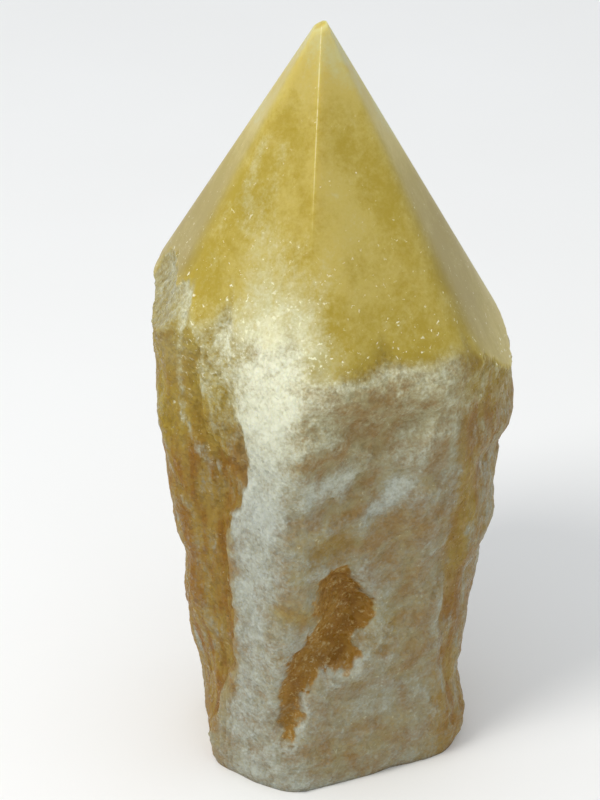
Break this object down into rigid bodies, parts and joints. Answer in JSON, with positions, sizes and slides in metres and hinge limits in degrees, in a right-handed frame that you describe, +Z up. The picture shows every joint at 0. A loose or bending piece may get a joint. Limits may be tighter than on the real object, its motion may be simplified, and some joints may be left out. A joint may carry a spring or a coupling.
{
  "type": "orange calcite point",
  "caption": "Half-polished calcite point: six polished faces meet at a tip over a rough, broken honey-orange block with a sawn flat underside that it stands on.",
  "frame": {"origin": "middle of the whole stone's outline, on the level of the sawn underside that it stands on", "axes": "+Z up from the sawn underside towards the tip; -Y is the front, with the white ridge and the amber scar; +X is to the right seen from the front"},
  "size_m": [0.0758, 0.0722, 0.1684],
  "materials": {
    "calcite": "honey-yellow translucent stone, polished on the six faces of the point, sugary white and amber where broken"
  },
  "bodies": {
    "root": {"calcite_point": "calcite"}
  },
  "joints": []
}
